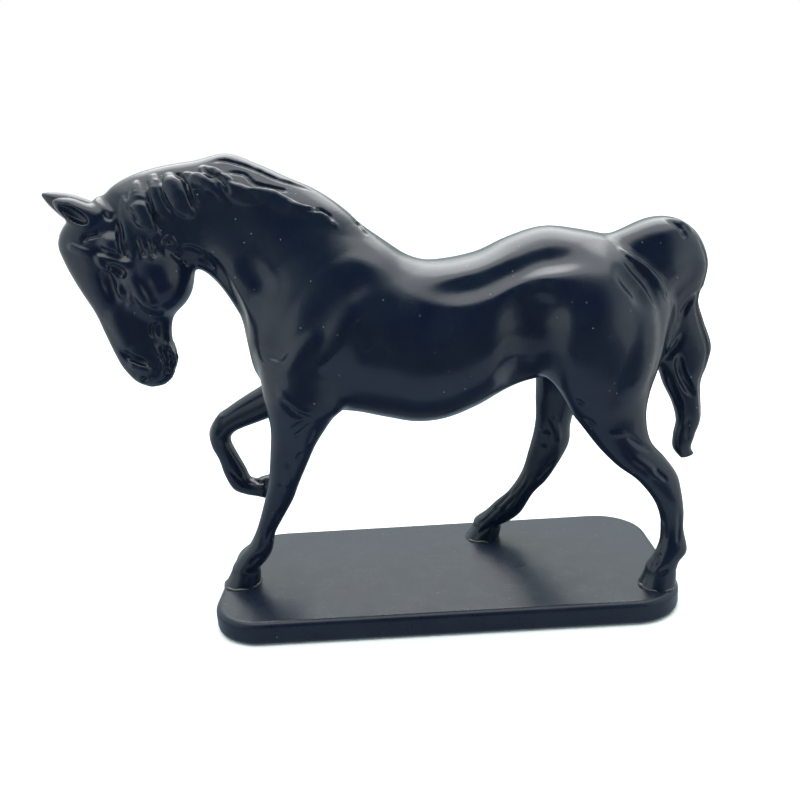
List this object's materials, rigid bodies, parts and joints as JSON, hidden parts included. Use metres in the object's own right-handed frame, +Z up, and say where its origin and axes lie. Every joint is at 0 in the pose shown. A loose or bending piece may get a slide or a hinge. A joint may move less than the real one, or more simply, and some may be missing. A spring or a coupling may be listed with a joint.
{
  "type": "jade figurine",
  "caption": "Walking horse statuette in near-black polished stone, head lowered and one foreleg raised, pinned by three hooves to a slab plinth with rounded corners.",
  "frame": {"origin": "centre of the plinth's flat underside, which is the face it stands on", "axes": "+X along the plinth towards the horse's tail, with the head towards -X; +Y to the horse's right (off) side; +Z up"},
  "size_m": [0.2575, 0.085, 0.186],
  "materials": {
    "horse_stone": "polished black jade, satin to gloss, with fine pits",
    "plinth_stone": "polished black jade, fine brushed marks on the top",
    "rod_steel": "plain drawn steel",
    "adhesive": "clear-setting black-tinted adhesive, glossy"
  },
  "bodies": {
    "root": {"plinth": "plinth_stone", "horse_body": "horse_stone", "raised_foreleg": "horse_stone", "tail": "horse_stone", "near_fore_rod": "rod_steel", "near_hind_rod": "rod_steel", "off_hind_rod": "rod_steel", "foreleg_dowel": "rod_steel", "tail_dowel": "rod_steel", "hoof_beads": "adhesive"}
  },
  "joints": []
}
